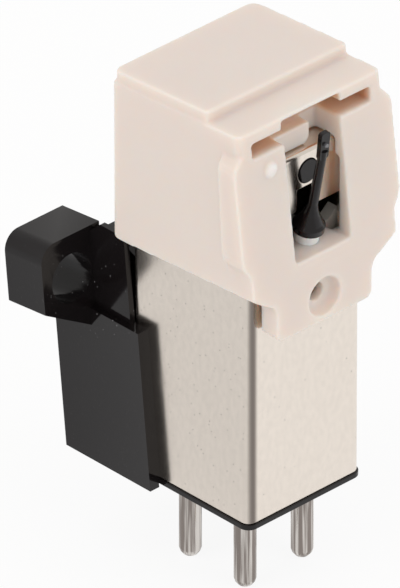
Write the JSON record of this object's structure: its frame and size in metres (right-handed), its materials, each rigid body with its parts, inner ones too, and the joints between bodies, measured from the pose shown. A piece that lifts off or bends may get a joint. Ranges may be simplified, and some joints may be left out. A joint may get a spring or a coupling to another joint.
{
  "type": "phono cartridge with stylus",
  "caption": "Moving-magnet record player cartridge: nickel can on four pins, cream pull-off stylus holder with a black cantilever, and a black bracket with half-inch mounting ears.",
  "frame": {"origin": "centre of the four terminal pins at their tips", "axes": "+Z along the cartridge from the pins to the stylus end, -Y towards the record, +Y towards the headshell, +X across"},
  "size_m": [0.017, 0.0173, 0.0323],
  "materials": {
    "cream_plastic": "satin moulded, slightly translucent",
    "black_plastic": "gloss moulded",
    "diamond": "polished",
    "white_elastomer": "soft matt",
    "magnet": "ground",
    "steel_wire": "drawn",
    "nickel_plate": "satin nickel plate",
    "soft_iron": "annealed sheet",
    "copper_wire": "enamelled winding",
    "tin_plate": "bright tin plate"
  },
  "bodies": {
    "cartridge_body": {"shield_can": "nickel_plate", "coil_former": "black_plastic", "coil_left": "copper_wire", "coil_right": "copper_wire", "core_left": "soft_iron", "core_right": "soft_iron", "channel_shield": "soft_iron", "coil_leads": "copper_wire", "terminal_plate": "black_plastic", "pin_left_front": "tin_plate", "pin_left_back": "tin_plate", "pin_right_front": "tin_plate", "pin_right_back": "tin_plate", "mounting_bracket": "black_plastic"},
    "stylus_unit": {"stylus_holder": "cream_plastic", "suspension_wire": "steel_wire", "wire_anchor": "tin_plate"},
    "damper": {"damper_ring": "white_elastomer"},
    "cantilever_arm": {"cantilever": "black_plastic", "diamond_tip": "diamond", "magnet_left": "magnet", "magnet_right": "magnet"}
  },
  "joints": [
    {"name": "stylus_pull", "type": "slide", "parent": "cartridge_body", "child": "stylus_unit", "axis": [0, -1, 0], "range_m": [0, 0.0105]},
    {"name": "cantilever_lift", "type": "hinge", "parent": "stylus_unit", "child": "damper", "pos_m": [0, -0.00487, 0.0234], "axis": [1, 0, 0], "range_deg": [-4, 3], "stiffness_Nm_per_rad": 0.002, "deforming": ["damper_ring"]},
    {"name": "cantilever_swing", "type": "hinge", "parent": "damper", "child": "cantilever_arm", "pos_m": [0, -0.00487, 0.0234], "axis": [0, 0.9774, 0.2113], "range_deg": [-3, 3], "stiffness_Nm_per_rad": 0.002}
  ]
}
